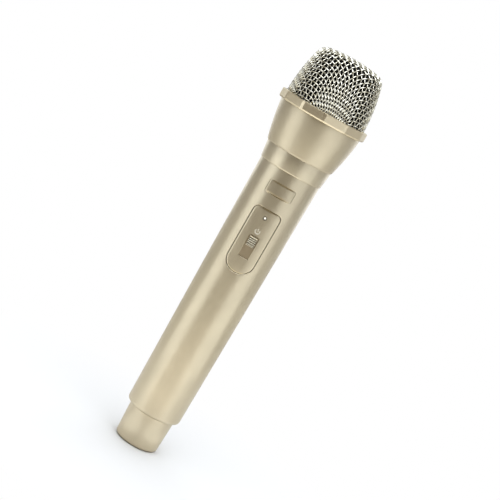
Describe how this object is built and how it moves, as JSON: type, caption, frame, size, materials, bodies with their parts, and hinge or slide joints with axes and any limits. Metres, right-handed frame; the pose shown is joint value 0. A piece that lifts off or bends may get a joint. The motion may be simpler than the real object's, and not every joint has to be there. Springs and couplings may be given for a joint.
{
  "type": "cordless microphone",
  "caption": "Hand-held cordless microphone with a woven wire grille on a screw ring, a twelve-sided anti-roll collar, a slide switch and a screw-off tail cap.",
  "frame": {"origin": "centre of the flat face at the tail, which the microphone stands on", "axes": "+Z along the microphone's axis from the tail to the grille, -Y out of the switch panel, +X to the right of someone facing the panel"},
  "size_m": [0.0534, 0.0534, 0.25],
  "materials": {
    "champagne_casing": "satin",
    "champagne_plate": "satin",
    "woven_wire": "satin",
    "plated_steel": "satin",
    "magnet_metal": "satin",
    "contact_metal": "satin",
    "coil_copper": "satin",
    "black_moulding": "matte",
    "black_sleeve": "satin",
    "red_sleeve": "satin",
    "black_rubber": "matte",
    "black_foam": "matte",
    "felt": "matte",
    "circuit_board": "satin",
    "film": "gloss",
    "cell_jacket": "satin",
    "lens": "gloss"
  },
  "bodies": {
    "handle": {"handle_shell": "champagne_casing", "neck_ring": "champagne_casing", "neck_ferrule": "black_moulding", "flared_head": "champagne_casing", "head_spigot": "plated_steel", "capsule_housing": "black_moulding", "capsule_front_grid": "plated_steel", "capsule_felt": "felt", "capsule_shock_mount": "black_rubber", "magnet_yoke": "plated_steel", "magnet": "magnet_metal", "pole_plate": "plated_steel", "diaphragm_frame": "black_moulding", "terminal_board": "circuit_board", "capsule_lead_red": "red_sleeve", "capsule_lead_black": "black_sleeve", "board_chassis": "black_moulding", "main_board": "circuit_board", "board_screw_1": "plated_steel", "board_screw_2": "plated_steel", "board_screw_3": "plated_steel", "board_screw_4": "plated_steel", "radio_shield_can": "plated_steel", "audio_chip": "black_moulding", "crystal": "plated_steel", "capacitor_1": "black_sleeve", "capacitor_2": "black_sleeve", "indicator_lamp": "lens", "indicator_light_pipe": "lens", "power_switch_body": "plated_steel", "switch_panel": "champagne_plate", "display_blank_plate": "champagne_plate", "antenna": "black_sleeve", "battery_tube": "black_moulding", "rear_cell": "cell_jacket", "front_cell": "cell_jacket", "front_contact": "contact_metal", "negative_strip": "contact_metal"},
    "windscreen": {"windscreen_foam": "black_foam"},
    "grille": {"grille_mesh": "woven_wire", "anti_roll_collar": "champagne_casing", "grille_thread_ring": "plated_steel"},
    "diaphragm": {"diaphragm": "film", "voice_coil": "coil_copper"},
    "power_switch": {"switch_knob": "champagne_plate", "switch_slider": "black_moulding"},
    "battery_spring": {"battery_spring": "plated_steel"},
    "end_cap": {"end_cap": "champagne_casing", "cap_seal_ring": "black_rubber", "cap_contact_disc": "contact_metal"}
  },
  "joints": [
    {"name": "grille_lift", "type": "slide", "parent": "handle", "child": "windscreen", "axis": [0, 0, 1], "range_m": [0, 0.0053]},
    {"name": "grille_turn", "type": "hinge", "parent": "windscreen", "child": "grille", "pos_m": [0, 0, 0.2124], "axis": [0, 0, 1], "range_deg": [0, 945]},
    {"name": "diaphragm_travel", "type": "slide", "parent": "handle", "child": "diaphragm", "axis": [0, 0, 1], "range_m": [-0.0002, 0.0002], "stiffness_N_per_m": 350},
    {"name": "power_switch_slide", "type": "slide", "parent": "handle", "child": "power_switch", "axis": [0, 0, -1], "range_m": [0, 0.007]},
    {"name": "end_cap_drop", "type": "slide", "parent": "handle", "child": "battery_spring", "axis": [0, 0, -1], "range_m": [0, 0.0053], "deforming": ["battery_spring"]},
    {"name": "end_cap_turn", "type": "hinge", "parent": "battery_spring", "child": "end_cap", "pos_m": [0, 0, 0.0206], "axis": [0, 0, -1], "range_deg": [0, 945]}
  ],
  "couplings": [
    {"joint": "grille_lift", "follows": "grille_turn", "m_per_rad": 0.00031831},
    {"joint": "end_cap_drop", "follows": "end_cap_turn", "m_per_rad": 0.00031831}
  ]
}
